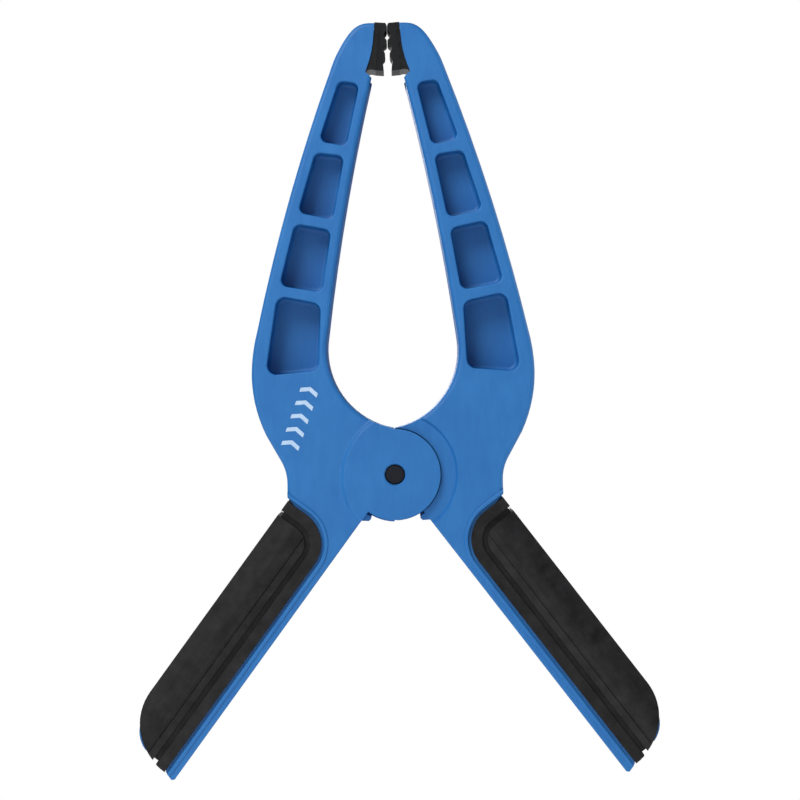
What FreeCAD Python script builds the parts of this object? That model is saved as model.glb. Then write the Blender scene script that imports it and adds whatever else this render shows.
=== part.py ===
"""Spring clamp, 225 mm class: two identical nylon levers on one pin, a spring, soft grips, rocking pads.

Row frame: +Z along the clamp towards the jaws, +X to the right seen from the front, +Y to the rear.
The origin is the point where the two pad faces meet, on the middle plane.
Shapes are drawn about the pivot axis and moved to the row frame when they are written.
"""
import FreeCAD, Part
import math
import os

V = FreeCAD.Vector

# Driving dimensions, mm
PIVOT_DROP = 133.5       # jaw contact down to the pivot axis
HUB_HALF = 14.0          # half thickness of the lever plates round the hub
TIP_HALF = 10.0          # half thickness at the jaw tips
TAPER_START_Z = 25.0     # the arms thin down from here ...
TIP_Z = 135.5            # ... to here, both above the pivot
EDGE_ROUND = 1.3         # rounding of the long outer edges

# Hub stack, distances from the middle plane
EAR_R = 13.6             # ears of both levers
EAR_OUTER = (10.3, 15.0)
EAR_INNER = (7.3, 10.0)
FIT = 0.3                # clearance between the two levers
CHAMBER_HALF = 7.0       # half width of the spring chamber
CHAMBER_R = 12.3         # chamber wall on a lever's own side
LIP_R = 14.3             # outside of the guard lips under the hub
TAB_HALF = 12.8          # half width of the small tabs beside the lips
RECESS_R = 18.2          # shallow round recess that shows beside the outer ear
RECESS_HALF = 13.1
RECESS_SLOPE = 0.6       # how far its wall leans out
BOSS_CENTRE = (-4.5, -1.0)
BOSS_TOP_R = 19.4        # low boss round the outer ear, with a sloping side
BOSS_FOOT_R = 21.2
SPIGOT_R = 6.6           # spring centring spigots on the inner ears
PIN_R = 3.0
PIN_FIT = 0.05           # radial running clearance of the pin
PIN_SUNK = 0.2           # ends below the ears' faces
HOLE_CHAMFER = 0.35

# Handle frame: s runs down the handle from the pivot, t stands off its inner edge
HANDLE_DIR = (0.6, -0.8)
HANDLE_NORMAL = (0.8, 0.6)
HANDLE_END = 113.0
GRIP_START = 25.2
GRIP_CORNER_R = 10.6
GRIP_FLOOR_HALF = 11.0   # core under the grip
CORE_TOP_T = 18.5
RIM_T = 3.8              # inner edge of the grip's rim
RIM_HALF = 14.2
RIM_WIDTH = 3.3
GROOVE_WIDTH = 1.7
GROOVE_HALF = 13.0
CUSHION_HALF = 15.6
GRIP_TOP_T = 21.5
MOAT_WIDTH = 0.9         # sunk line between lever and grip
MOAT_HALF = 13.1
BEAD_WIDTH = 1.2         # raised line outside the moat
BEAD_HEIGHT = 0.45
BEAD_ROUND = 0.4
RAIL_ROUND = 0.5         # rounding of the handle's inner edge
CHANNEL_T = 11.2         # depth of the channel in the handle's inner side
CHANNEL_START = 4.0
CHANNEL_END = 105.0
RIB_STARTS = (58.0, 74.0, 90.0)
RIB_THICK = 2.0

# Arms
POCKET_WEB_HALF = 3.5    # half thickness of the web between the pockets
INNER_FLANGE = 3.2
OUTER_FLANGE = 3.7
POCKET_FLOOR_ROUND = 1.2
POCKET_MOUTH_ROUND = 0.45
# each pocket: height of its inner top, outer top, inner bottom and outer bottom corner, corner radius
POCKETS = [
    (117.3, 118.2, 98.5, 100.1, 2.1),
    (95.6, 96.8, 76.6, 78.8, 2.1),
    (73.4, 75.6, 54.8, 57.0, 2.3),
    (51.4, 54.1, 31.5, 30.1, 2.9),
]

# Jaw tips and pads
SLOT_HALF = 7.8
PAD_HALF = 7.5
TRUNNION = (8.6, 127.5)
TRUNNION_R = 2.2
TRUNNION_HALF = 9.0
TRUNNION_FIT = 0.15
PAD_LEAN_DEG = 4.5       # each closed pad leans, so that only the tops meet
PAD_THICK = 3.8
RUBBER_THICK = 2.6
PAD_TOP_Z = 135.6
PAD_FOOT_Z = 121.2
CONTACT_Z = 134.0        # the top tooth's crest
PAD_GAP = 0.05           # from a closed pad to the middle, so that the two just meet
TOOTH_COUNT = 4
TOOTH_PITCH = 4.0
TOOTH_DEPTH = 0.8
TOOTH_PROUD = 0.28       # the second tooth stands further out, so that it nearly meets too

# Spring
WIRE_R = 1.5
COIL_R = 9.5             # mean radius
COIL_HALF = 5.2          # wire centre of the end turns from the middle plane
LEG_LENGTH = 38.0
BEND_R = 1.65            # swelling where a leg leaves the coil


def point(x, z, y=0.0):
    """A point at x, z from the pivot axis and y from the middle plane."""
    return V(x, y, z)


def on_handle(s, t):
    """The x and z of a place s down the handle and t from its inner edge."""
    return (HANDLE_DIR[0] * s + HANDLE_NORMAL[0] * t, HANDLE_DIR[1] * s + HANDLE_NORMAL[1] * t)


def outline_face(steps):
    """A face in the XZ plane from steps, the first of them ('at', (x, z)).

    The others are ('line', end), ('arc', via, end) or ('curve', points, first and last direction, end).
    """
    here = steps[0][1]
    start = here
    edges = []
    for step in steps[1:]:
        end = step[-1]
        if step[0] == "line":
            edges.append(Part.LineSegment(point(*here), point(*end)).toShape())
        elif step[0] == "curve":
            spline = Part.BSplineCurve()
            through = [point(*p) for p in (here,) + step[1] + (end,)]
            spline.interpolate(through, InitialTangent=point(*step[2][0]), FinalTangent=point(*step[2][1]))
            edges.append(spline.toShape())
        else:
            edges.append(Part.Arc(point(*here), point(*step[1]), point(*end)).toShape())
        here = end
    if math.dist(here, start) > 1e-6:
        edges.append(Part.LineSegment(point(*here), point(*start)).toShape())
    return Part.Face(Part.Wire(edges))


def plate(face, y_low, y_high):
    """A face of the XZ plane made a plate from y_low to y_high."""
    moved = face.copy()
    moved.translate(V(0, y_low, 0))
    return moved.extrude(V(0, y_high - y_low, 0))


def drum(radius, y_low, y_high, x=0.0, z=0.0):
    """A cylinder along Y."""
    return Part.makeCylinder(radius, y_high - y_low, V(x, y_low, z), V(0, 1, 0))


def rounded(solid, radius, edges):
    """The solid with these edges rounded, or the solid as it was if they don't take it."""
    try:
        result = solid.makeFillet(radius, edges)
        if result.isValid():
            return result
    except Part.OCCError:
        pass
    print("rounding left out on", len(edges), "edges")
    return solid


def half_at(z):
    """Half thickness of the arm at height z above the pivot."""
    return HUB_HALF - (HUB_HALF - TIP_HALF) * (z - TAPER_START_Z) / (TIP_Z - TAPER_START_Z)


# Lever outline ---------------------------------------------------------------------------------

THROAT_CENTRE = (-4.35, 37.5)
THROAT_R = 24.1
INNER_EDGE = ((13.7, 78.0), (5.3, 117.2))
OUTER_EDGE = ((17.75, 120.0), (29.85, 84.0), (40.55, 43.0))


def throat_x(z):
    """The throat circle's x at height z."""
    return THROAT_CENTRE[0] + math.sqrt(THROAT_R ** 2 - (z - THROAT_CENTRE[1]) ** 2)


def throat_z(x):
    """The throat circle's lower z at x."""
    return THROAT_CENTRE[1] - math.sqrt(THROAT_R ** 2 - (x - THROAT_CENTRE[0]) ** 2)


THROAT_END = (throat_x(41.0), 41.0)
SEAM_X = FIT / 2
WIDEST_X = 41.9


def parabola_x(points, z):
    """x at height z on the gentle curve through three points."""
    total = 0.0
    for i, (x_i, z_i) in enumerate(points):
        weight = 1.0
        for j, (_, z_j) in enumerate(points):
            if i != j:
                weight *= (z - z_j) / (z_i - z_j)
        total += x_i * weight
    return total


def inner_x(z):
    """The arm's inner edge at height z."""
    return throat_x(z) if z < 41.0 else parabola_x((THROAT_END,) + INNER_EDGE, z)


def outer_x(z):
    """The arm's outer edge at height z, its widest below the end of the gentle curve."""
    return parabola_x(OUTER_EDGE, z) if z > OUTER_EDGE[2][1] else WIDEST_X


def lever_outline():
    """The lever's whole side view, right-hand lever seen from the front."""
    v_notch = (SEAM_X, throat_z(SEAM_X))
    throat_mid = (throat_x(24.0), 24.0)
    return outline_face([
        ("at", v_notch),
        ("arc", throat_mid, THROAT_END),
        ("arc", INNER_EDGE[0], INNER_EDGE[1]),
        ("line", (4.9, 119.0)),
        ("line", (6.8, 120.8)),
        ("arc", (4.95, 126.2), (4.1, 132.0)),
        ("line", (3.7, 135.5)),
        ("line", (5.4, 135.5)),
        ("curve", ((9.1, 134.5), (11.8, 131.9), (15.25, 126.2)), ((5.5, 0.0), (2.6, -7.2)), OUTER_EDGE[0]),
        ("arc", OUTER_EDGE[1], OUTER_EDGE[2]),
        ("arc", (41.85, 36.5), (42.3, 30.5)),
        ("arc", (41.25, 21.0), (38.2, 12.2)),
        ("line", (34.3, 5.2)),
        ("arc", (32.7, 1.6), (32.2, -2.4)),
        ("line", on_handle(GRIP_START - 0.8, 22.0)),
        ("line", on_handle(GRIP_START, CORE_TOP_T)),
        ("line", on_handle(103.8, CORE_TOP_T)),
        ("arc", on_handle(108.0, 16.4), on_handle(110.7, 12.2)),
        ("line", on_handle(109.3, 9.0)),
        ("line", on_handle(110.0, RIM_T + 1.2)),
        ("line", on_handle(HANDLE_END - 0.8, RIM_T - 0.4)),
        ("line", on_handle(HANDLE_END, 0.7)),
        ("line", on_handle(HANDLE_END - 0.7, 0.0)),
        ("line", (0.0, 0.0)),
        ("line", (SEAM_X, 0.5)),
    ])


def taper_wedge(side):
    """The material above the sloping face of the arm, on side +1 or -1."""
    start, far = TAPER_START_Z, 160.0
    corners = [V(-1, side * HUB_HALF, start), V(-1, side * half_at(far), far), V(-1, side * 30, far),
               V(-1, side * 30, start)]
    return Part.Face(Part.makePolygon(corners + corners[:1])).extrude(V(60, 0, 0))


def pocket(shape, side):
    """The tool for one arm pocket on side +1 or -1."""
    inner_top, outer_top, inner_low, outer_low, corner = shape
    corners = [
        (inner_x(inner_top) + INNER_FLANGE, inner_top),
        (outer_x(outer_top) - OUTER_FLANGE, outer_top),
        (outer_x(outer_low) - OUTER_FLANGE, outer_low),
        (inner_x(inner_low) + INNER_FLANGE, inner_low),
    ]
    face = outline_face([("at", corners[0])] + [("line", c) for c in corners[1:]])
    deep = 30.0
    low, high = (POCKET_WEB_HALF, deep) if side > 0 else (-deep, -POCKET_WEB_HALF)
    tool = plate(face, low, high)
    upright = [e for e in tool.Edges if abs(e.tangentAt(e.FirstParameter).y) > 0.99]
    tool = rounded(tool, corner, upright)
    floor = [e for e in tool.Edges if all(abs(abs(v.Y) - POCKET_WEB_HALF) < 1e-4 for v in e.Vertexes)]
    return rounded(tool, POCKET_FLOOR_ROUND, floor)


def mouth_edges(solid):
    """The edges where the pockets open on the front and rear faces."""
    highest, lowest = POCKETS[0][1], POCKETS[-1][3]
    chosen = []
    for edge in solid.Edges:
        mid = edge.valueAt((edge.FirstParameter + edge.LastParameter) / 2)
        ends = [v.Point for v in edge.Vertexes]
        at_face = all(abs(abs(p.y) - half_at(p.z)) < 0.02 for p in ends + [mid])
        in_span = all(lowest - 0.1 < p.z < highest + 0.1 for p in ends + [mid])
        if at_face and in_span:
            low_x, high_x = inner_x(mid.z) + INNER_FLANGE, outer_x(mid.z) - OUTER_FLANGE
            if low_x - 0.1 < mid.x < high_x + 0.1:
                chosen.append(edge)
    return chosen


def long_edges(solid):
    """The edges of the front and rear faces, apart from the seam at the hub and the handle."""
    chosen = []
    for edge in solid.Edges:
        mid = edge.valueAt((edge.FirstParameter + edge.LastParameter) / 2)
        ends = [v.Point for v in edge.Vertexes]
        at_face = all(abs(abs(p.y) - min(HUB_HALF, half_at(p.z))) < 0.02 for p in ends + [mid])
        on_arm = all(p.z > 14.0 or (p.x > 30.0 and p.z > -9.0) for p in ends) and mid.z > -5.0
        at_crease = abs(mid.z - TAPER_START_Z) < 0.01 and abs(ends[0].z - ends[-1].z) < 0.01
        at_pad = mid.z > 118.0 and mid.x < 7.1 and mid.z < 135.4
        if at_face and on_arm and not at_crease and not at_pad:
            chosen.append(edge)
    return chosen


# Grip outlines ---------------------------------------------------------------------------------


def grip_outline():
    """The whole grip's side view."""
    s0, t0, r = GRIP_START, RIM_T, GRIP_CORNER_R
    diag = r * (1 - math.sqrt(0.5))
    return outline_face([
        ("at", on_handle(s0, GRIP_TOP_T + 0.5)),
        ("line", on_handle(s0, t0 + r)),
        ("arc", on_handle(s0 + diag, t0 + diag), on_handle(s0 + r, t0)),
        ("line", on_handle(111.3, t0)),
        ("line", on_handle(112.3, t0 + 1.0)),
        ("line", on_handle(111.4, 8.8)),
        ("arc", on_handle(105.9, 17.4), on_handle(94.0, GRIP_TOP_T)),
        ("line", on_handle(s0 + 4.0, GRIP_TOP_T)),
    ])


def corner_outline(grow):
    """The grip's corner and inner side, grown outwards or shrunk, open past the handle's end and top."""
    s0, t0, r = GRIP_START - grow, RIM_T - grow, GRIP_CORNER_R + grow
    diag = r * (1 - math.sqrt(0.5))
    return outline_face([
        ("at", on_handle(s0, 30.0)),
        ("line", on_handle(s0, t0 + r)),
        ("arc", on_handle(s0 + diag, t0 + diag), on_handle(s0 + r, t0)),
        ("line", on_handle(120.0, t0)),
        ("line", on_handle(120.0, 30.0)),
    ])


def both_sides(face, low, high):
    """Two plates, mirrored about the middle plane."""
    return [plate(face, low, high), plate(face, -high, -low)]


# Parts -----------------------------------------------------------------------------------------


def handle_box(s_low, s_high, t_low, t_high, half):
    """A box in the handle's own frame."""
    corners = [on_handle(s_low, t_low), on_handle(s_high, t_low), on_handle(s_high, t_high),
               on_handle(s_low, t_high)]
    return plate(outline_face([("at", corners[0])] + [("line", c) for c in corners[1:]]), -half, half)


def boss():
    """The low round boss round the outer ear, with a soft S-shaped side, on the lever's own body."""
    x, z = BOSS_CENTRE
    foot = V(BOSS_FOOT_R, HUB_HALF, 0)
    shoulder = V(BOSS_TOP_R, EAR_OUTER[1], 0)
    slope = Part.BSplineCurve()
    slope.interpolate([foot, shoulder], InitialTangent=V(-1, 0, 0), FinalTangent=V(-1, 0, 0))
    rest = Part.makePolygon([shoulder, V(0, EAR_OUTER[1], 0), V(0, HUB_HALF - 1.0, 0),
                             V(BOSS_FOOT_R, HUB_HALF - 1.0, 0), foot])
    solid = Part.Face(Part.Wire([slope.toShape()] + rest.Edges)).revolve(V(0, 0, 0), V(0, 1, 0), 360)
    solid.translate(V(x, 0, z))
    return solid


def bead_edges(solid):
    """The edges along the top of the raised line beside the grip."""
    level = HUB_HALF + BEAD_HEIGHT
    return [e for e in solid.Edges if all(abs(abs(v.Y) - level) < 1e-4 for v in e.Vertexes)]


def rail_edges(solid):
    """The edges along the handle's inner side, from below the hub to near the end."""
    chosen = []
    for edge in solid.Edges:
        straight = all(abs(HANDLE_NORMAL[0] * v.X + HANDLE_NORMAL[1] * v.Z) < 1e-4 for v in edge.Vertexes)
        outside = all(abs(abs(v.Y) - HUB_HALF) < 1e-4 for v in edge.Vertexes)
        if straight and outside and edge.Length > HANDLE_END / 2:
            chosen.append(edge)
    return chosen


def recess():
    """The tool for the shallow round recess, its wall leaning out towards the face."""
    depth = HUB_HALF - RECESS_HALF
    cone = Part.makeCone(RECESS_R, RECESS_R + RECESS_SLOPE, depth, V(0, -RECESS_HALF, 0), V(0, -1, 0))
    return cone.fuse(drum(RECESS_R + RECESS_SLOPE, -30.0, -HUB_HALF))


def pin_hole():
    """The tool for the pin's hole, chamfered at the outer ear's face."""
    radius = PIN_R + PIN_FIT
    start = V(0, EAR_OUTER[1] - HOLE_CHAMFER, 0)
    flare = Part.makeCone(radius, radius + HOLE_CHAMFER, HOLE_CHAMFER, start, V(0, 1, 0))
    return drum(radius, -30.0, 30.0).fuse(flare)


def lips():
    """The scalloped guard lip and the small tab under the hub, in the lever's own half of the chamber."""
    ring = drum(LIP_R, FIT, CHAMBER_HALF).cut(drum(CHAMBER_R, FIT, CHAMBER_HALF))
    sector = outline_face([("at", (0.4, -5.0)), ("line", (0.4, -20.0)), ("line", on_handle(22.0, 0.5)),
                           ("line", on_handle(6.0, 0.5))])
    tab = outline_face([("at", (7.4, -10.5)), ("line", (7.4, -13.2)), ("line", (8.0, -13.8)),
                        ("line", on_handle(17.3, 0.3)), ("line", on_handle(15.0, 1.0))])
    across = plate(tab, -TAB_HALF, TAB_HALF).cut(drum(LIP_R + FIT, -TAB_HALF, TAB_HALF))
    return [ring.common(plate(sector, FIT, CHAMBER_HALF)), plate(tab, FIT, CHAMBER_HALF), across]


def tip_slot():
    """The slot between the jaw tip's cheeks, where the pad rocks."""
    face = outline_face([
        ("at", (-2.0, 116.2)),
        ("line", (5.0, 116.2)),
        ("line", (8.0, 118.0)),
        ("line", (11.0, 120.6)),
        ("line", (11.8, 124.0)),
        ("arc", (11.9, 129.0), (9.6, 132.6)),
        ("line", (6.0, 133.6)),
        ("line", (4.6, 140.0)),
        ("line", (-2.0, 140.0)),
    ])
    return plate(face, -SLOT_HALF, SLOT_HALF)


def lever():
    """One lever, as the right-hand one: jaw arm, hub half, handle core. The left one is the same, turned."""
    body = plate(lever_outline(), -HUB_HALF, HUB_HALF)
    for side in (1, -1):
        body = body.cut(taper_wedge(side))
    body = rounded(body, EDGE_ROUND, long_edges(body))

    body = body.cut([pocket(shape, side) for shape in POCKETS for side in (1, -1)])
    body = rounded(body, POCKET_MOUTH_ROUND, mouth_edges(body))

    bead = []
    for solid in both_sides(corner_outline(MOAT_WIDTH + BEAD_WIDTH), HUB_HALF - 1.0, HUB_HALF + BEAD_HEIGHT):
        bead.append(solid.common(plate(lever_outline(), -20, 20)))
    body = body.fuse(bead)
    body = body.cut(both_sides(corner_outline(MOAT_WIDTH), MOAT_HALF, 30.0))
    body = rounded(body, BEAD_ROUND, bead_edges(body))
    body = body.cut(both_sides(corner_outline(0.0), GRIP_FLOOR_HALF, 30.0))

    body = rounded(body, RAIL_ROUND, rail_edges(body))
    raised = boss().common(plate(lever_outline(), -20, 20))
    body = body.fuse([raised])
    body = body.cut([
        recess(),
        drum(EAR_R + FIT, -30, -EAR_INNER[1]),
        drum(LIP_R + FIT, -CHAMBER_HALF, 0.0),
        drum(CHAMBER_R, 0.0, CHAMBER_HALF),
        drum(EAR_R + FIT, CHAMBER_HALF, EAR_OUTER[0]),
        handle_box(CHANNEL_START, CHANNEL_END, -2.0, CHANNEL_T, CHAMBER_HALF),
        tip_slot(),
        drum(TRUNNION_R + TRUNNION_FIT, -TRUNNION_HALF - 0.2, TRUNNION_HALF + 0.2, *TRUNNION),
    ])
    ribs = [handle_box(s, s + RIB_THICK, 2.5, CHANNEL_T + 0.5, CHAMBER_HALF + 0.5) for s in RIB_STARTS]
    ears = [
        drum(EAR_R, EAR_OUTER[0], EAR_OUTER[1]),
        drum(EAR_R, -EAR_INNER[1], -EAR_INNER[0]),
        drum(SPIGOT_R, -EAR_INNER[0], -0.4),
    ]
    link = plate(lever_outline(), -EAR_INNER[1], -CHAMBER_HALF).common(drum(16.0, -20, 20))
    body = body.fuse(ribs + ears + lips() + [link])
    return body.cut(pin_hole()).removeSplitter()


def grip(core):
    """The soft grip moulded round the handle core."""
    shell = plate(grip_outline(), -RIM_HALF, RIM_HALF)
    shell = shell.cut(both_sides(corner_outline(-RIM_WIDTH), GROOVE_HALF, 30.0))
    inside_groove = plate(corner_outline(-RIM_WIDTH - GROOVE_WIDTH), -30.0, 30.0)
    shell = shell.fuse(plate(grip_outline(), -CUSHION_HALF, CUSHION_HALF).common(inside_groove))
    notch = handle_box(GRIP_START + RIM_WIDTH, GRIP_START + RIM_WIDTH + GROOVE_WIDTH,
                       GRIP_TOP_T - 0.9, 30.0, 30.0)
    hollow = handle_box(0.0, 109.0, 0.0, CORE_TOP_T - 4.0, GRIP_FLOOR_HALF - 1.0)
    return shell.cut([core, hollow, notch]).removeSplitter()


def leaned(x, z):
    """A point of the upright pad turned to its closed lean about the tooth that touches first."""
    lean = math.radians(PAD_LEAN_DEG)
    up = z - CONTACT_Z
    return (PAD_GAP + x * math.cos(lean) - up * math.sin(lean),
            CONTACT_Z + x * math.sin(lean) + up * math.cos(lean))


def pad_face():
    """The soft pad, its face a wave of round teeth and round valleys below the tooth that touches first."""
    quarter = TOOTH_PITCH / 4
    z = CONTACT_Z - quarter
    steps = [
        ("at", leaned(0.7 * TOOTH_DEPTH, PAD_TOP_Z)),
        ("arc", leaned(0.0, CONTACT_Z), leaned(TOOTH_DEPTH / 2, z)),
    ]
    for i in range(2 * TOOTH_COUNT - 3):
        crest = -TOOTH_PROUD if i == 1 else 0.0
        depth = crest if i % 2 else TOOTH_DEPTH
        steps.append(("arc", leaned(depth, z - quarter), leaned(TOOTH_DEPTH / 2, z - 2 * quarter)))
        z -= 2 * quarter
    steps += [
        ("line", leaned(0.1, PAD_FOOT_Z)),
        ("line", leaned(RUBBER_THICK, PAD_FOOT_Z)),
        ("line", leaned(RUBBER_THICK, PAD_TOP_Z)),
    ]
    return plate(outline_face(steps), -PAD_HALF, PAD_HALF)


def pad_carrier():
    """The hard pad carrier: back plate, web into the slot, and trunnions."""
    face = outline_face([
        ("at", leaned(RUBBER_THICK, PAD_TOP_Z)),
        ("line", leaned(PAD_THICK, PAD_TOP_Z)),
        ("line", leaned(PAD_THICK, 133.2)),
        ("line", (8.0, 131.4)),
        ("arc", (10.6, 128.9), (10.4, 125.6)),
        ("line", (8.8, 121.0)),
        ("line", leaned(PAD_THICK, PAD_FOOT_Z + 0.2)),
        ("line", leaned(RUBBER_THICK, PAD_FOOT_Z)),
    ])
    web = plate(face, -PAD_HALF, PAD_HALF)
    return web.fuse(drum(TRUNNION_R, -TRUNNION_HALF, TRUNNION_HALF, *TRUNNION)).removeSplitter()


def pivot_pin():
    """The plain steel pin, its ends chamfered and just below the ears' faces."""
    length = 2 * (EAR_OUTER[1] - PIN_SUNK)
    pin = drum(PIN_R, -length / 2, length / 2)
    ends = [e for e in pin.Edges if len(e.Vertexes) == 1]
    return pin.makeChamfer(0.45, ends)


def torsion_spring():
    """Coil and two straight legs; the legs leave the coil along the handles."""
    lead_angle = math.atan2(HANDLE_NORMAL[1], HANDLE_NORMAL[0])
    turns = 3 + (math.pi - 2 * lead_angle) / (2 * math.pi)
    pitch = 2 * COIL_HALF / turns
    section = Part.Wire(Part.makeCircle(WIRE_R, V(COIL_R, 0, 0), V(0, 2 * math.pi * COIL_R, pitch)))
    coil = Part.Wire(Part.makeHelix(pitch, 2 * COIL_HALF, COIL_R)).makePipeShell([section], True, True)
    coil.rotate(V(0, 0, 0), V(1, 0, 0), 90)
    coil.translate(V(0, COIL_HALF, 0))
    coil.rotate(V(0, 0, 0), V(0, 1, 0), -math.degrees(lead_angle))
    bends = []
    for side, y in ((1, COIL_HALF), (-1, -COIL_HALF)):
        foot = V(side * HANDLE_NORMAL[0] * COIL_R, y, HANDLE_NORMAL[1] * COIL_R)
        along = V(side * HANDLE_DIR[0], 0, HANDLE_DIR[1])
        bends.append(Part.makeSphere(BEND_R, foot))
        bends.append(Part.makeCylinder(WIRE_R, LEG_LENGTH, foot, along))
    return coil.fuse(bends)


def turned(shape):
    """The same piece turned half round the Z axis, for the other lever."""
    other = shape.copy()
    other.rotate(V(0, 0, 0), V(0, 0, 1), 180)
    return other


def main():
    """Build every piece and write it as parts/NODE.step."""
    right_lever = lever()
    right_grip = grip(right_lever)
    carrier = pad_carrier()
    face = pad_face()
    nodes = {
        "right_lever": right_lever,
        "left_lever": turned(right_lever),
        "right_grip": right_grip,
        "left_grip": turned(right_grip),
        "right_pad_carrier": carrier,
        "left_pad_carrier": turned(carrier),
        "right_pad_face": face,
        "left_pad_face": turned(face),
        "pivot_pin": pivot_pin(),
        "torsion_spring": torsion_spring(),
    }
    os.makedirs("parts", exist_ok=True)
    for name, shape in nodes.items():
        placed = shape.copy()
        placed.translate(V(0, 0, -PIVOT_DROP))
        placed.exportStep(f"parts/{name}.step")
        box = placed.BoundBox
        print(name, "valid" if placed.isValid() else "NOT VALID", "solids", len(placed.Solids),
              f"volume {placed.Volume:.0f}", f"box {box.XMin:.1f} {box.XMax:.1f} {box.YMin:.1f} "
              f"{box.YMax:.1f} {box.ZMin:.1f} {box.ZMax:.1f}")


main()
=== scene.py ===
"""Looks of the spring clamp: moulded nylon, soft grips, coil spring, pads, print, light and camera."""
import logging
import math
from dataclasses import dataclass, field
from enum import Enum
from typing import Callable

import bpy
from mathutils import Matrix, Vector


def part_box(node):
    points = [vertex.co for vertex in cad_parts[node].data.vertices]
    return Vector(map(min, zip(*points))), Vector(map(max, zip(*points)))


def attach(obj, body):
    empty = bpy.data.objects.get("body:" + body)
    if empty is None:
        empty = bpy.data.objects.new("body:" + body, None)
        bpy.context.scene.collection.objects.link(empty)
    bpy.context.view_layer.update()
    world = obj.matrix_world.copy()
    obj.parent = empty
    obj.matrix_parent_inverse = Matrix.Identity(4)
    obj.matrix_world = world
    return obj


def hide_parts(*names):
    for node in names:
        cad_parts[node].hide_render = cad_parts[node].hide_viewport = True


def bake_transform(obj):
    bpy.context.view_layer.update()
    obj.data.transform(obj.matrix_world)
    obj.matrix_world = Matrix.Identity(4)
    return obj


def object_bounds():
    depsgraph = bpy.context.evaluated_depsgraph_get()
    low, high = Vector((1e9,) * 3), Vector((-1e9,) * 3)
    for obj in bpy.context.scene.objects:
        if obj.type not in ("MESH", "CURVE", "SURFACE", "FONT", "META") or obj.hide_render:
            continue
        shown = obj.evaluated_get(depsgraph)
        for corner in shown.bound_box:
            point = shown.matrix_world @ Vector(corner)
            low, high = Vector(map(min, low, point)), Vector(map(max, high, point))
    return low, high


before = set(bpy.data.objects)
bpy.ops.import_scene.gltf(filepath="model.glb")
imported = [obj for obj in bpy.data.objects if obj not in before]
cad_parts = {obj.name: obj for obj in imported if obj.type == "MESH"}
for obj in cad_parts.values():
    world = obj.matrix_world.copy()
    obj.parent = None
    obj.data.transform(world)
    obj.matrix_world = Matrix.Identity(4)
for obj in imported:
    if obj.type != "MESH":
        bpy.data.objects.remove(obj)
CAD_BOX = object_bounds()

MM = 0.001
# Which way the right handle runs down from the pivot: a 3-4-5 slope.
DOWN_X = 0.6
DOWN_Z = -0.8
log = logging.getLogger("spring_clamp")

Test = Callable[[Vector, Vector], bool]


class Side(Enum):
    """Which half of the clamp a piece belongs to, with its sign along X."""

    LEFT = -1
    RIGHT = 1

    @property
    def word(self) -> str:
        """The side's name in node and body names."""
        return self.name.lower()

    @property
    def half(self) -> str:
        """The body of this side's lever."""
        return f"{self.word}_half"


def linear(hex_colour: str) -> tuple[float, float, float, float]:
    """Turn an sRGB hex colour into linear values.

    Args:
        hex_colour: six hex digits after a hash sign.

    Returns:
        Red, green, blue and an alpha of 1.
    """
    parts = [int(hex_colour[i:i + 2], 16) / 255 for i in (1, 3, 5)]
    red, green, blue = (p / 12.92 if p <= 0.04045 else ((p + 0.055) / 1.055) ** 2.4 for p in parts)
    return (red, green, blue, 1.0)


# Materials -------------------------------------------------------------------------------------


def add_node(tree: bpy.types.NodeTree, kind: str, settings: dict | None = None,
             links: dict | None = None) -> bpy.types.Node:
    """Add one node with its settings and links.

    Args:
        tree: the material's node tree.
        kind: the node's type, such as "ShaderNodeTexNoise".
        settings: attributes by name, and input values by an input's name or number.
        links: output sockets that feed this node, by input name or number.

    Returns:
        The new node.
    """
    node = tree.nodes.new(kind)
    for name, value in (settings or {}).items():
        if isinstance(name, str) and hasattr(node, name):
            setattr(node, name, value)
        else:
            node.inputs[name].default_value = value
    for name, socket in (links or {}).items():
        tree.links.new(socket, node.inputs[name])
    return node


def grain_scale(size_mm: float) -> float:
    """The noise scale whose grains measure size_mm on Object coordinates in metres."""
    return 1.0 / (size_mm * MM)


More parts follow.
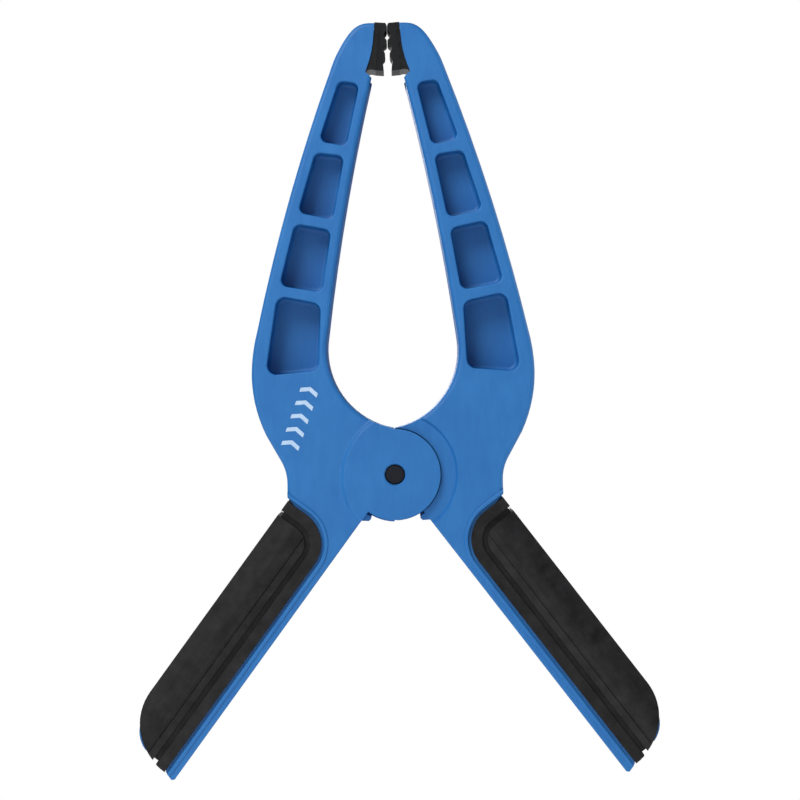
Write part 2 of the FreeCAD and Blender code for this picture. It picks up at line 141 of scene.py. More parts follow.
@dataclass(frozen=True)
class Finish:
    """What every finish shares: its name, colours and gloss."""

    name: str
    colour: str
    second: str
    roughness: float
    metallic: float = 0.0
    ior: float = 1.5
    specular: float = 0.5
    mottle_mm: float = 9.0
    grain_mm: float = 0.6
    grain_depth_mm: float = 0.02

    def start(self) -> tuple[bpy.types.Material, bpy.types.NodeTree, bpy.types.Node, bpy.types.Node]:
        """Make the material with its shader and a set of Object coordinates.

        Returns:
            The material, its node tree, the shader node and the coordinates node.
        """
        material = bpy.data.materials.new(self.name)
        material.use_nodes = True
        tree = material.node_tree
        tree.nodes.clear()
        shader = add_node(tree, "ShaderNodeBsdfPrincipled", {
            "Roughness": self.roughness, "Metallic": self.metallic, "IOR": self.ior,
            "Specular IOR Level": self.specular})
        add_node(tree, "ShaderNodeOutputMaterial", links={"Surface": shader.outputs["BSDF"]})
        place = add_node(tree, "ShaderNodeTexCoord")
        return material, tree, shader, place

    def mottle(self, tree: bpy.types.NodeTree, place: bpy.types.Node) -> bpy.types.Node:
        """Blend the two colours in soft patches.

        Args:
            tree: the node tree.
            place: the coordinates node.

        Returns:
            The mix node, whose result is its output 2.
        """
        patches = add_node(tree, "ShaderNodeTexNoise", {
            "Scale": grain_scale(self.mottle_mm), "Detail": 4.0, "Roughness": 0.6},
            {"Vector": place.outputs["Object"]})
        spread = add_node(tree, "ShaderNodeMapRange", {"From Min": 0.32, "From Max": 0.68},
                          {"Value": patches.outputs["Fac"]})
        return add_node(tree, "ShaderNodeMix", {
            "data_type": "RGBA", 6: linear(self.colour), 7: linear(self.second)},
            {0: spread.outputs["Result"]})

    def grain(self, tree: bpy.types.NodeTree, place: bpy.types.Node) -> bpy.types.Node:
        """A fine even grain as a bump.

        Args:
            tree: the node tree.
            place: the coordinates node.

        Returns:
            The bump node.
        """
        noise = add_node(tree, "ShaderNodeTexNoise", {
            "Scale": grain_scale(self.grain_mm), "Detail": 2.0, "Roughness": 0.55},
            {"Vector": place.outputs["Object"]})
        return add_node(tree, "ShaderNodeBump", {
            "Strength": 1.0, "Distance": self.grain_depth_mm * MM}, {"Height": noise.outputs["Fac"]})

    def build(self) -> bpy.types.Material:
        """The plain form: mottled colour, fine grain and a little change of gloss.

        Returns:
            The finished material.
        """
        material, tree, shader, place = self.start()
        colour = self.mottle(tree, place)
        bump = self.grain(tree, place)
        gloss = add_node(tree, "ShaderNodeTexNoise", {
            "Scale": grain_scale(self.mottle_mm * 0.4), "Detail": 3.0},
            {"Vector": place.outputs["Object"]})
        rough = add_node(tree, "ShaderNodeMapRange", {
            "From Min": 0.3, "From Max": 0.7, "To Min": self.roughness - 0.05,
            "To Max": self.roughness + 0.07}, {"Value": gloss.outputs["Fac"]})
        tree.links.new(colour.outputs[2], shader.inputs["Base Color"])
        tree.links.new(rough.outputs["Result"], shader.inputs["Roughness"])
        tree.links.new(bump.outputs["Normal"], shader.inputs["Normal"])
        return material


@dataclass(frozen=True)
class MouldedNylon(Finish):
    """Glass-filled nylon: spark-textured mould, faint flow streaks, a parting line in the middle plane."""

    streak_colour: str = "#3F8CCB"
    streak_mm: float = 2.2
    streak_stretch: float = 0.22
    streak_share: float = 0.16
    parting_half_mm: float = 0.12
    parting_height_mm: float = 0.08

    def build(self) -> bpy.types.Material:
        """Add fibre streaks and the parting line to the plain form.

        Returns:
            The finished material.
        """
        material, tree, shader, place = self.start()
        colour = self.mottle(tree, place)
        stretch = add_node(tree, "ShaderNodeMapping", {"Scale": (1.0, 1.0, self.streak_stretch)},
                           {"Vector": place.outputs["Object"]})
        streaks = add_node(tree, "ShaderNodeTexNoise", {
            "Scale": grain_scale(self.streak_mm), "Detail": 5.0, "Roughness": 0.7, "Distortion": 0.4},
            {"Vector": stretch.outputs["Vector"]})
        faint = add_node(tree, "ShaderNodeMapRange", {
            "From Min": 0.35, "From Max": 0.75, "To Min": 0.0, "To Max": self.streak_share},
            {"Value": streaks.outputs["Fac"]})
        streaked = add_node(tree, "ShaderNodeMix", {
            "data_type": "RGBA", 7: linear(self.streak_colour)},
            {0: faint.outputs["Result"], 6: colour.outputs[2]})
        bump = self.grain(tree, place)
        split = add_node(tree, "ShaderNodeSeparateXYZ", links={"Vector": place.outputs["Object"]})
        off = add_node(tree, "ShaderNodeMath", {"operation": "ABSOLUTE"}, {0: split.outputs["Y"]})
        line = add_node(tree, "ShaderNodeMapRange", {
            "From Min": 0.0, "From Max": self.parting_half_mm * MM, "To Min": 1.0, "To Max": 0.0},
            {"Value": off.outputs[0]})
        ridge = add_node(tree, "ShaderNodeBump", {"Strength": 0.6, "Distance": self.parting_height_mm * MM},
                         {"Height": line.outputs["Result"], "Normal": bump.outputs["Normal"]})
        rough = add_node(tree, "ShaderNodeMapRange", {
            "From Min": 0.3, "From Max": 0.7, "To Min": self.roughness - 0.05,
            "To Max": self.roughness + 0.08}, {"Value": streaks.outputs["Fac"]})
        tree.links.new(streaked.outputs[2], shader.inputs["Base Color"])
        tree.links.new(rough.outputs["Result"], shader.inputs["Roughness"])
        tree.links.new(ridge.outputs["Normal"], shader.inputs["Normal"])
        return material


@dataclass(frozen=True)
class TurnedSteel(Finish):
    """Black oxide steel whose end was faced in a lathe: fine rings about the pin's own axis."""

    ring_mm: float = 0.35
    centre_z: float = -0.1335

    def build(self) -> bpy.types.Material:
        """Add facing rings to the mottled oxide.

        Returns:
            The finished material.
        """
        material, tree, shader, place = self.start()
        colour = self.mottle(tree, place)
        centred = add_node(tree, "ShaderNodeMapping", {
            "Location": (0.0, 0.0, -self.centre_z)}, {"Vector": place.outputs["Object"]})
        rings = add_node(tree, "ShaderNodeTexWave", {
            "wave_type": "RINGS", "rings_direction": "Y", "Scale": 0.1 / (self.ring_mm * MM),
            "Distortion": 0.6, "Detail": 2.0}, {"Vector": centred.outputs["Vector"]})
        bump = add_node(tree, "ShaderNodeBump", {"Strength": 0.5, "Distance": self.grain_depth_mm * MM},
                        {"Height": rings.outputs["Fac"]})
        tree.links.new(colour.outputs[2], shader.inputs["Base Color"])
        tree.links.new(bump.outputs["Normal"], shader.inputs["Normal"])
        return material


@dataclass(frozen=True)
class Palette:
    """Every finish of the clamp."""

    # Glass-filled nylon 6 from a spark-eroded mould: an even satin blue, a little lighter where fibres
    # lie near the skin. The real grain is near 0.1 mm and is drawn coarser so that it shows.
    nylon: MouldedNylon = MouldedNylon(
        "blue_glass_filled_nylon", "#1D6AAE", "#1863A7", 0.5, ior=1.53, specular=0.35,
        mottle_mm=14.0, grain_mm=0.45, grain_depth_mm=0.012)
    # Thermoplastic rubber moulded over the handle: dull charcoal, cloudy, softly lit at grazing angles.
    grip: Finish = Finish(
        "charcoal_overmoulded_rubber", "#0E0D0F", "#222123", 0.42, specular=0.22,
        mottle_mm=5.0, grain_mm=0.7, grain_depth_mm=0.025)
    # Softer rubber of the pads: near black and matt.
    pad: Finish = Finish(
        "black_pad_rubber", "#121316", "#0E0F12", 0.5, specular=0.25,
        mottle_mm=3.0, grain_mm=0.5, grain_depth_mm=0.03)
    # Unfilled black nylon from a polished mould: glossy.
    carrier: Finish = Finish(
        "black_gloss_nylon", "#060709", "#0B0C0F", 0.16, ior=1.53,
        mottle_mm=4.0, grain_mm=1.2, grain_depth_mm=0.006)
    # Steel pin, black oxide over a faced end: a blue-black satin.
    pin: TurnedSteel = TurnedSteel(
        "black_oxide_steel", "#10131A", "#171A22", 0.4, specular=0.2, metallic=0.1,
        mottle_mm=2.0, grain_depth_mm=0.01)
    # Hard-drawn spring wire with a thin zinc plate: grey metal with drawing marks.
    spring: Finish = Finish(
        "zinc_plated_spring_wire", "#A9ACB0", "#8F9296", 0.32, metallic=1.0,
        mottle_mm=2.5, grain_mm=0.4, grain_depth_mm=0.008)
    # Pad-printing ink: thin, matt, pale.
    ink: Finish = Finish(
        "pale_pad_print_ink", "#B4CDE8", "#A6C3E2", 0.55,
        mottle_mm=1.2, grain_mm=0.3, grain_depth_mm=0.01)
    # Seamless backdrop paper: matt and near white.
    paper: Finish = Finish(
        "white_paper_sweep", "#F4F4F2", "#F0F0EE", 0.8,
        mottle_mm=60.0, grain_mm=2.0, grain_depth_mm=0.01)


# Bench: selecting and shaping -------------------------------------------------------------------


def deselect() -> None:
    """Deselect everything, CAD nodes included."""
    for obj in list(bpy.context.selected_objects):
        obj.select_set(False)


def activate(obj: bpy.types.Object) -> None:
    """Make obj the one selected and active object."""
    deselect()
    obj.select_set(True)
    bpy.context.view_layer.objects.active = obj


def block(name: str, low: tuple, high: tuple) -> bpy.types.Object:
    """Add a cube primitive between two corners.

    Args:
        name: the object's name.
        low: lowest corner in mm.
        high: highest corner in mm.

    Returns:
        The new object, its place in its mesh.
    """
    deselect()
    middle = [(a + b) / 2 * MM for a, b in zip(low, high)]
    size = [(b - a) * MM for a, b in zip(low, high)]
    bpy.ops.mesh.primitive_cube_add(size=1.0, location=middle, scale=size)
    obj = bpy.context.object
    obj.name = name
    bpy.ops.object.transform_apply(location=True, rotation=True, scale=True)
    return obj


def pick(obj: bpy.types.Object, mode: str, test: Test) -> int:
    """Select faces or edges of obj in code and go to edit mode.

    Args:
        obj: the object to edit.
        mode: "FACE" or "EDGE".
        test: for a face, takes its centre and normal; for an edge, its two ends; all in mm.

    Returns:
        How many are selected.
    """
    activate(obj)
    bpy.ops.object.mode_set(mode="EDIT")
    bpy.ops.mesh.select_mode(type=mode)
    bpy.ops.mesh.select_all(action="DESELECT")
    bpy.ops.object.mode_set(mode="OBJECT")
    mesh = obj.data
    count = 0
    if mode == "FACE":
        for face in mesh.polygons:
            face.select = test(face.center / MM, face.normal)
            count += face.select
    else:
        for edge in mesh.edges:
            a, b = (mesh.vertices[i].co / MM for i in edge.vertices)
            edge.select = test(a, b)
            count += edge.select
    bpy.ops.object.mode_set(mode="EDIT")
    return count


def done() -> None:
    """Leave edit mode."""
    bpy.ops.object.mode_set(mode="OBJECT")


def near(a: float, b: float, slack: float = 0.02) -> bool:
    """Whether two lengths in mm agree."""
    return abs(a - b) < slack


def round_edges(obj: bpy.types.Object, test: Test, radius: float, segments: int) -> None:
    """Bevel the edges that pass a test.

    Args:
        obj: the object.
        test: takes an edge's two ends in mm.
        radius: bevel offset in mm.
        segments: bevel segments.
    """
    if pick(obj, "EDGE", test):
        bpy.ops.mesh.bevel(offset=radius * MM, segments=segments, affect="EDGES", clamp_overlap=True)
    done()


def level_cut(obj: bpy.types.Object, height: float, drop_below: bool = False) -> None:
    """Cut obj along a level plane of its local frame.

    Args:
        obj: the object.
        height: the plane's place along local Z in mm.
        drop_below: whether what lies below goes, and the cut is closed.
    """
    activate(obj)
    bpy.ops.object.mode_set(mode="EDIT")
    bpy.ops.mesh.select_all(action="SELECT")
    bpy.ops.mesh.bisect(plane_co=(0.0, 0.0, height * MM), plane_no=(0.0, 0.0, 1.0),
                        use_fill=drop_below, clear_inner=drop_below)
    if drop_below:
        bpy.ops.mesh.select_all(action="SELECT")
        bpy.ops.mesh.normals_make_consistent(inside=False)
    done()


def crown_sides(obj: bpy.types.Object, low: float, high: float, half: float, rise: float,
                lines: int) -> None:
    """Swell the two broad sides of obj between two heights.

    Args:
        obj: the object, its broad sides across Y.
        low: where the swelling starts, along local Z in mm.
        high: where it ends.
        half: half thickness before swelling.
        rise: how much proud the middle becomes.
        lines: level lines that carry the swelling.
    """
    steps = [i / (lines + 1) for i in range(1, lines + 1)]
    for across in steps:
        level_cut(obj, low + (high - low) * across)
    for across in steps:
        height = low + (high - low) * across
        factor = 1.0 + rise * math.sin(math.pi * across) / half
        pick(obj, "EDGE", lambda a, b: near(a.z, height) and near(b.z, height))
        bpy.ops.transform.resize(value=(1.0, factor, 1.0), center_override=(0.0, 0.0, 0.0))
        done()


def combine(obj: bpy.types.Object, tool: bpy.types.Object, operation: str) -> None:
    """Join or cut obj with a tool solid, and remove the tool.

    Args:
        obj: the object that stays.
        tool: the other solid.
        operation: "UNION" or "DIFFERENCE".
    """
    activate(obj)
    modifier = obj.modifiers.new("combine", "BOOLEAN")
    modifier.operation = operation
    modifier.solver = "EXACT"
    modifier.object = tool
    bpy.ops.object.modifier_apply(modifier=modifier.name)
    bpy.data.objects.remove(tool)


def settle(obj: bpy.types.Object, place: Matrix, smooth_deg: float = 32.0) -> bpy.types.Object:
    """Put a finished mesh in its place and shade it.

    Args:
        obj: the object, modelled in a local frame.
        place: the matrix from that frame to the row frame.
        smooth_deg: edges flatter than this are smooth.

    Returns:
        The object.
    """
    obj.data.transform(place)
    activate(obj)
    bpy.ops.object.shade_smooth_by_angle(angle=math.radians(smooth_deg))
    flats = obj.modifiers.new("flats", "WEIGHTED_NORMAL")
    flats.keep_sharp = True
    bpy.ops.object.modifier_apply(modifier=flats.name)
    deselect()
    return obj


def turned_copy(obj: bpy.types.Object, name: str) -> bpy.types.Object:
    """A copy turned half round the Z axis, with its own mesh.

    Args:
        obj: the piece of the right half.
        name: the copy's name.

    Returns:
        The left half's piece.
    """
    other = obj.copy()
    other.data = obj.data.copy()
    other.name = name
    bpy.context.scene.collection.objects.link(other)
    other.data.transform(Matrix.Rotation(math.pi, 4, "Z"))
    return other


def dress(obj: bpy.types.Object, material: bpy.types.Material) -> None:
    """Give a new piece its one material.

    Args:
        obj: the new piece.
        material: its finish.
    """
    obj.data.materials.clear()
    obj.data.materials.append(material)


def dress_node(node: str, material: bpy.types.Material) -> None:
    """Give a CAD node a better material in its own slots.

    Args:
        node: the node's name.
        material: the better material.
    """
    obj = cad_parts[node]
    for slot in obj.material_slots:
        slot.material = material


# Sub-assemblies ---------------------------------------------------------------------------------


def handle_frame(pivot_z: float) -> Matrix:
    """The matrix from the right handle's own frame to the row frame.

    Args:
        pivot_z: height of the pivot in metres.

    Returns:
        A matrix; local X runs down the handle, local Z stands off its inner edge.
    """
    return Matrix(((DOWN_X, 0.0, -DOWN_Z, 0.0), (0.0, 1.0, 0.0, 0.0),
                   (DOWN_Z, 0.0, DOWN_X, pivot_z), (0.0, 0.0, 0.0, 1.0)))


@dataclass
class Grip:
    """The soft grip: rim band, groove and crowned cushion. Sizes in mm, in the handle's frame.

    Lengths run down the handle from the pivot; heights stand off the handle's inner edge.
    """

    start: float = 25.2
    rim_end: float = 112.3
    cushion_end: float = 111.7
    rim_t: float = 3.8
    top_t: float = 21.3
    rim_half: float = 14.2
    corner: float = 10.6
    end_round: float = 16.5
    rim_end_round: float = 17.4
    rim_width: float = 3.3
    groove_width: float = 1.7
    groove_half: float = 13.0
    cushion_half: float = 14.8
    crown: float = 0.78
    crown_lines: int = 5
    back_bevel: float = 0.08
    groove_bevel: float = 0.005
    rim_edge: float = 0.45
    notch_depth: float = 0.9
    end_notch: float = 1.6
    end_notch_lift: float = 0.2
    core_half: float = 10.95
    core_top: float = 18.4
    core_end: float = 109.0
    big_facets: int = 16
    small_facets: int = 12
    # How far the cutting blocks stand out past the rubber.
    side_reach: float = 30.0
    reach: float = 40.0
    core_reach: float = 20.0
    far_end: float = 140.0

    def slab(self, name: str, inset: float, half: float, end: float, end_round: float) -> bpy.types.Object:
        """A block of the grip's outline with its two big corners rounded.

        Args:
            name: the object's name.
            inset: how far its upper end and inner side stand in.
            half: half thickness.
            end: its lower end.
            end_round: radius of its outer lower corner.

        Returns:
            The block.
        """
        s0, t0 = self.start + inset, self.rim_t + inset
        deep = end_round + 2.0
        obj = block(name, (s0, -half, self.top_t - deep), (end, half, self.top_t))
        self.round_corner(obj, (end, self.top_t), end_round, self.big_facets)
        level_cut(obj, t0, drop_below=True)
        self.round_corner(obj, (s0, t0), self.corner - inset, self.small_facets)
        return obj

    def round_corner(self, obj: bpy.types.Object, corner: tuple, radius: float, segments: int) -> None:
        """Round the edge that stands along Y at a corner of the outline.

        Args:
            obj: the block.
            corner: the corner's two places in the handle's frame.
            radius: how round it becomes.
            segments: facets of the rounding.
        """
        def on_corner(a: Vector, b: Vector) -> bool:
            """Whether both ends of an edge lie at the corner."""
            return all(near(p.x, corner[0], 0.05) and near(p.z, corner[1], 0.05) for p in (a, b))

        round_edges(obj, on_corner, radius, segments)

    def rim(self) -> bpy.types.Object:
        """The base with its rim band, grooved on both sides and across the back.

        Returns:
            The rim and the groove's floor as one solid.
        """
        obj = self.slab("grip", 0.0, self.rim_half, self.rim_end, self.rim_end_round)
        s0, t0 = self.start + self.rim_width, self.rim_t + self.rim_width
        for side in (1, -1):
            low, high = sorted((side * self.groove_half, side * self.side_reach))
            tool = block("groove_tool", (s0, low, t0), (self.far_end, high, self.reach))
            self.round_corner(tool, (s0, t0), self.corner - self.rim_width, self.small_facets)
            combine(obj, tool, "DIFFERENCE")
        across = block("notch_tool", (s0, -self.reach, self.top_t - self.notch_depth),
                       (s0 + self.groove_width, self.reach, self.reach))
        combine(obj, across, "DIFFERENCE")
        below = block("notch_tool", (self.rim_end - self.end_notch, -self.reach, t0 + self.end_notch_lift),
                      (self.far_end, self.reach, t0 + self.groove_width))
        combine(obj, below, "DIFFERENCE")
        half = self.rim_half
        round_edges(obj, lambda a, b: near(abs(a.y), half) and near(abs(b.y), half), self.rim_edge, 3)
        return obj

    def cushion(self) -> bpy.types.Object:
        """The raised cushion: crowned sides, with a fine bevel along its back and a finer one elsewhere.

        Returns:
            The cushion solid.
        """
        inset = self.rim_width + self.groove_width
        obj = self.slab("cushion", inset, self.cushion_half, self.cushion_end, self.end_round)
        low, high = self.rim_t + inset, self.top_t

        def at_back(a: Vector, b: Vector) -> bool:
            """Whether an edge borders a broad side along the back or round the lower end."""
            along_face = near(a.y, b.y) and near(abs(a.y), self.cushion_half)
            middle = (a + b) / 2
            on_end = middle.x > self.cushion_end - self.end_round and middle.z > low + 1.0
            return along_face and (near(middle.z, high) or on_end)

        def at_groove(a: Vector, b: Vector) -> bool:
            """Whether an edge still borders a broad side, as those down in the groove do."""
            return near(a.y, b.y) and near(abs(a.y), self.cushion_half)

        round_edges(obj, at_back, self.back_bevel, 8)
        round_edges(obj, at_groove, self.groove_bevel, 3)
        crown_sides(obj, low, high, self.cushion_half, self.crown, self.crown_lines)
        return obj

    def build(self, place: Matrix) -> bpy.types.Object:
        """Model the right grip whole.

        Args:
            place: the handle's frame.

        Returns:
            The grip in place.
        """
        obj = self.rim()
        combine(obj, self.cushion(), "UNION")
        core = block("core_tool", (-self.core_reach, -self.core_half, -self.core_reach),
                     (self.core_end, self.core_half, self.core_top))
        combine(obj, core, "DIFFERENCE")
        obj.name = "soft_grip_right"
        return settle(obj, place)


@dataclass
class Spring:
    """The torsion spring: a close coil about the pin and two straight legs. Sizes in mm."""

    wire_r: float = 1.5
    coil_r: float = 9.5
    half: float = 5.2
    leg: float = 38.0
    leg_parts: int = 4
    end_bevel: float = 0.25
    blend_inset: float = 0.2
    whole_turns: int = 3
    lead: float = math.atan2(DOWN_X, -DOWN_Z)
    ring_points: int = 20
    steps_per_turn: int = 40

    def build(self, pivot_z: float) -> bpy.types.Object:
        """Wind the coil by a screw of one ring, then pull each end out as a leg.

        Args:
            pivot_z: height of the pivot in metres.

        Returns:
            The spring in place.
        """
        turns = self.whole_turns + (math.pi - 2 * self.lead) / (2 * math.pi)
        deselect()
        bpy.ops.mesh.primitive_circle_add(
            vertices=self.ring_points, radius=self.wire_r * MM, location=(self.coil_r * MM, 0, 0),
            rotation=(math.pi / 2, 0, 0))
        obj = bpy.context.object
        obj.name = "coil_spring"
        bpy.ops.object.transform_apply(location=True, rotation=True, scale=True)
        screw = obj.modifiers.new("wind", "SCREW")
        screw.angle = turns * 2 * math.pi
        screw.screw_offset = 2 * self.half * MM
        screw.steps = screw.render_steps = round(turns * self.steps_per_turn)
        screw.use_merge_vertices = False
        bpy.ops.object.modifier_apply(modifier=screw.name)
        obj.data.transform(Matrix.Rotation(-self.lead, 4, "Y") @ Matrix.Translation((0, self.half * MM, 0))
                           @ Matrix.Rotation(math.pi / 2, 4, "X"))
        for sign in (1, -1):
            self.pull_leg(obj, sign)
        activate(obj)
        bpy.ops.object.mode_set(mode="EDIT")
        bpy.ops.mesh.select_all(action="SELECT")
        bpy.ops.mesh.remove_doubles(threshold=0.001 * MM)
        bpy.ops.mesh.normals_make_consistent(inside=False)
        done()
        return settle(obj, Matrix.Translation((0, 0, pivot_z)), 60.0)

    def pull_leg(self, obj: bpy.types.Object, sign: int) -> None:
        """Extrude the coil's open end into a leg and cap it.

        Args:
            obj: the coil.
            sign: 1 for the right leg, -1 for the left one.
        """
        foot = Vector((-sign * DOWN_Z * self.coil_r, sign * self.half, DOWN_X * self.coil_r))
        uses: dict[tuple, int] = {}
        for face in obj.data.polygons:
            for key in face.edge_keys:
                uses[key] = uses.get(key, 0) + 1
        rim = {key for key, count in uses.items() if count == 1}
        points = [v.co / MM for v in obj.data.vertices]
        activate(obj)
        bpy.ops.object.mode_set(mode="EDIT")
        bpy.ops.mesh.select_mode(type="EDGE")
        bpy.ops.mesh.select_all(action="DESELECT")
        done()
        for edge in obj.data.edges:
            key = tuple(sorted(edge.vertices))
            middle = (points[key[0]] + points[key[1]]) / 2
            edge.select = key in rim and (middle - foot).length < self.wire_r * 1.3
        bpy.ops.object.mode_set(mode="EDIT")
        step = self.leg / self.leg_parts * MM
        for _ in range(self.leg_parts):
            bpy.ops.mesh.extrude_edges_move(TRANSFORM_OT_translate={
                "value": (sign * DOWN_X * step, 0.0, DOWN_Z * step)})
        bpy.ops.mesh.edge_face_add()
        bpy.ops.mesh.bevel(offset=self.end_bevel * MM, segments=2, affect="EDGES")
        done()


@dataclass
class PrintedMark:
    """A generic printed mark on the left lever: plain chevrons in a row. Sizes in mm."""

    centre: tuple = (-28.2, -14.0, 17.0)
    lean_deg: float = 20.0
    chevrons: int = 5
    pitch: float = 4.2
    steepness: float = 0.42
    width: float = 5.4
    stroke: float = 1.3
    thick: float = 0.05

    def chevron(self, height: float) -> bpy.types.Object:
        """One chevron lying in the XZ plane, its point up.

        Args:
            height: where its middle stands along Z in mm.

        Returns:
            The chevron, still flat.
        """
        deselect()
        bpy.ops.mesh.primitive_plane_add(size=1.0, rotation=(math.pi / 2, 0, 0))
        obj = bpy.context.object
        obj.scale = (self.width * MM, self.stroke * MM, 1.0)
        bpy.ops.object.transform_apply(location=True, rotation=True, scale=True)
        bpy.ops.object.mode_set(mode="EDIT")
        bpy.ops.mesh.select_all(action="SELECT")
        bpy.ops.mesh.subdivide(number_cuts=1)
        done()
        rise = self.width * self.steepness
        for vertex in obj.data.vertices:
            across = abs(vertex.co.x) / (self.width * MM)
            vertex.co.z += (rise * (0.5 - across) + height) * MM
        return obj

    def build(self, pivot_z: float) -> bpy.types.Object:
        """Model the mark as one thin sheet of ink.

        Args:
            pivot_z: height of the pivot in metres.

        Returns:
            The mark, just proud of the lever's front face.
        """
        span = (self.chevrons - 1) * self.pitch
        pieces = [self.chevron(i * self.pitch - span / 2) for i in range(self.chevrons)]
        deselect()
        for piece in pieces:
            piece.select_set(True)
        bpy.context.view_layer.objects.active = pieces[0]
        bpy.ops.object.join()
        obj = bpy.context.object
        obj.name = "printed_chevrons"
        thick = obj.modifiers.new("ink", "SOLIDIFY")
        thick.thickness = self.thick * MM
        thick.offset = 0.0
        bpy.ops.object.modifier_apply(modifier=thick.name)
        lean = Matrix.Rotation(math.radians(self.lean_deg), 4, "Y")
        x, y, z = self.centre
        place = Matrix.Translation((x * MM, (y - self.thick) * MM, z * MM + pivot_z)) @ lean
        return settle(obj, place, 20.0)


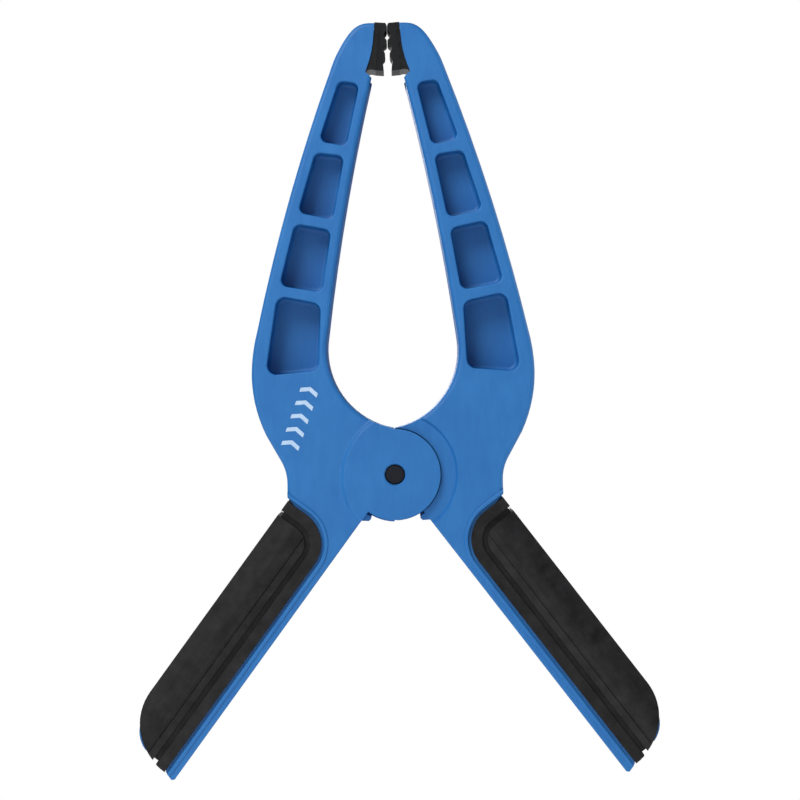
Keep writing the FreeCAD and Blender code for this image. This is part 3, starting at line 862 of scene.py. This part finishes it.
@dataclass
class Studio:
    """Floor, light and camera. Lengths in metres."""

    distance: float = 0.9
    lens: float = 133.6
    aim: tuple = (0.0019, 0.0, 0.0222)
    roll_deg: float = -1.05
    floor_drop: float = 0.13
    floor_radius: float = 0.85
    floor_glow: float = 0.35
    ambient: float = 0.26
    paper: Finish = Palette.paper

    def camera(self, pivot_z: float) -> None:
        """Set the camera square on the clamp's front.

        Args:
            pivot_z: height of the pivot in metres.
        """
        data = bpy.data.cameras.new("camera")
        data.lens = self.lens
        data.sensor_width = 36.0
        data.clip_end = 10.0
        obj = bpy.data.objects.new("camera", data)
        bpy.context.scene.collection.objects.link(obj)
        turn = Matrix.Rotation(math.pi / 2, 4, "X") @ Matrix.Rotation(math.radians(self.roll_deg), 4, "Z")
        obj.matrix_world = Matrix.Translation((self.aim[0], -self.distance, pivot_z + self.aim[2])) @ turn
        bpy.context.scene.camera = obj

    def light(self, name: str, place: tuple, target: tuple, size: float, watts: float) -> None:
        """Add one soft box.

        Args:
            name: the light's name.
            place: where it hangs.
            target: where it points.
            size: its side.
            watts: its power.
        """
        data = bpy.data.lights.new(name, "AREA")
        data.shape = "SQUARE"
        data.size = size
        data.energy = watts
        obj = bpy.data.objects.new(name, data)
        bpy.context.scene.collection.objects.link(obj)
        obj.location = place
        obj.rotation_euler = (Vector(target) - Vector(place)).to_track_quat("-Z", "Y").to_euler()

    def surroundings(self) -> None:
        """A white sweep all round: full white to look at, softer as light."""
        world = bpy.data.worlds.new("white_sweep")
        bpy.context.scene.world = world
        world.use_nodes = True
        tree = world.node_tree
        tree.nodes.clear()
        ray = add_node(tree, "ShaderNodeLightPath")
        strength = add_node(tree, "ShaderNodeMapRange", {"To Min": self.ambient, "To Max": 1.0},
                            {"Value": ray.outputs["Is Camera Ray"]})
        back = add_node(tree, "ShaderNodeBackground", {"Color": (1.0, 1.0, 1.0, 1.0)},
                        {"Strength": strength.outputs["Result"]})
        add_node(tree, "ShaderNodeOutputWorld", links={"Surface": back.outputs["Background"]})

    def floor(self, bottom: float) -> None:
        """A plain pale disc well below the handles, clear of their swing, glowing faintly as lit paper.

        Args:
            bottom: the clamp's lowest point in metres.
        """
        deselect()
        bpy.ops.mesh.primitive_circle_add(vertices=96, radius=self.floor_radius, fill_type="NGON",
                                          location=(0, 0, bottom - self.floor_drop))
        obj = bpy.context.object
        obj.name = "floor"
        bpy.ops.object.transform_apply(location=True, rotation=True, scale=True)
        paper = self.paper.build()
        shader = next(n for n in paper.node_tree.nodes if n.type == "BSDF_PRINCIPLED")
        shader.inputs["Emission Color"].default_value = (1.0, 1.0, 1.0, 1.0)
        shader.inputs["Emission Strength"].default_value = self.floor_glow
        obj.data.materials.append(paper)

    def build(self, pivot_z: float, bottom: float) -> None:
        """Set the whole studio up.

        Args:
            pivot_z: height of the pivot in metres.
            bottom: the clamp's lowest point in metres.
        """
        self.camera(pivot_z)
        self.surroundings()
        self.floor(bottom)
        middle = (0, 0, pivot_z)
        self.light("key_above", (-0.35, -0.55, 0.5), middle, 0.45, 6.0)
        self.light("fill_front", (-0.38, -1.2, -0.15), middle, 0.7, 2.0)
        self.light("side_right", (0.95, 0.1, 0.15), middle, 0.6, 4.0)
        self.light("back_left", (-0.3, 1.0, 0.35), middle, 0.8, 8.0)
        bpy.context.scene.view_settings.view_transform = "Standard"


@dataclass
class Clamp:
    """The whole clamp: dresses the CAD nodes and adds the pieces made here."""

    palette: Palette = field(default_factory=Palette)

    def pivot_z(self) -> float:
        """The pivot's height in metres, from the pin's own box."""
        low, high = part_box("pivot_pin")
        return (low.z + high.z) / 2

    def levers(self) -> None:
        """Dress the two nylon levers, the pads and the pin."""
        nylon = self.palette.nylon.build()
        carrier = self.palette.carrier.build()
        pad = self.palette.pad.build()
        for side in Side:
            dress_node(f"{side.word}_lever", nylon)
            dress_node(f"{side.word}_pad_carrier", carrier)
            dress_node(f"{side.word}_pad_face", pad)
            log.info("%s lever, pad carrier and pad dressed", side.word)
        dress_node("pivot_pin", self.palette.pin.build())

    def grips(self) -> None:
        """Model both grips and put them on their handles."""
        rubber = self.palette.grip.build()
        right = Grip().build(handle_frame(self.pivot_z()))
        left = turned_copy(right, "soft_grip_left")
        for obj, side in ((right, Side.RIGHT), (left, Side.LEFT)):
            dress(obj, rubber)
            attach(obj, side.half)
            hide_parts(f"{side.word}_grip")
            log.info("%s with %d faces", obj.name, len(obj.data.polygons))

    def spring(self) -> None:
        """Model the spring so that it winds between the two halves."""
        spring = Spring()
        obj = spring.build(self.pivot_z())
        dress(obj, self.palette.spring.build())
        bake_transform(obj)
        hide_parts("torsion_spring")
        log.info("%s with %d faces", obj.name, len(obj.data.polygons))

    def mark(self) -> None:
        """Print the generic mark on the left lever."""
        obj = PrintedMark().build(self.pivot_z())
        dress(obj, self.palette.ink.build())
        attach(obj, Side.LEFT.half)
        log.info("%s added", obj.name)

    def build(self) -> None:
        """Build every piece in order."""
        self.levers()
        self.grips()
        self.spring()
        self.mark()


def main() -> None:
    """Build the clamp and the studio."""
    logging.basicConfig(level=logging.INFO, format="%(name)s: %(message)s", force=True)
    clamp = Clamp()
    clamp.build()
    Studio().build(clamp.pivot_z(), CAD_BOX[0][2])


if __name__ == "__main__":
    main()
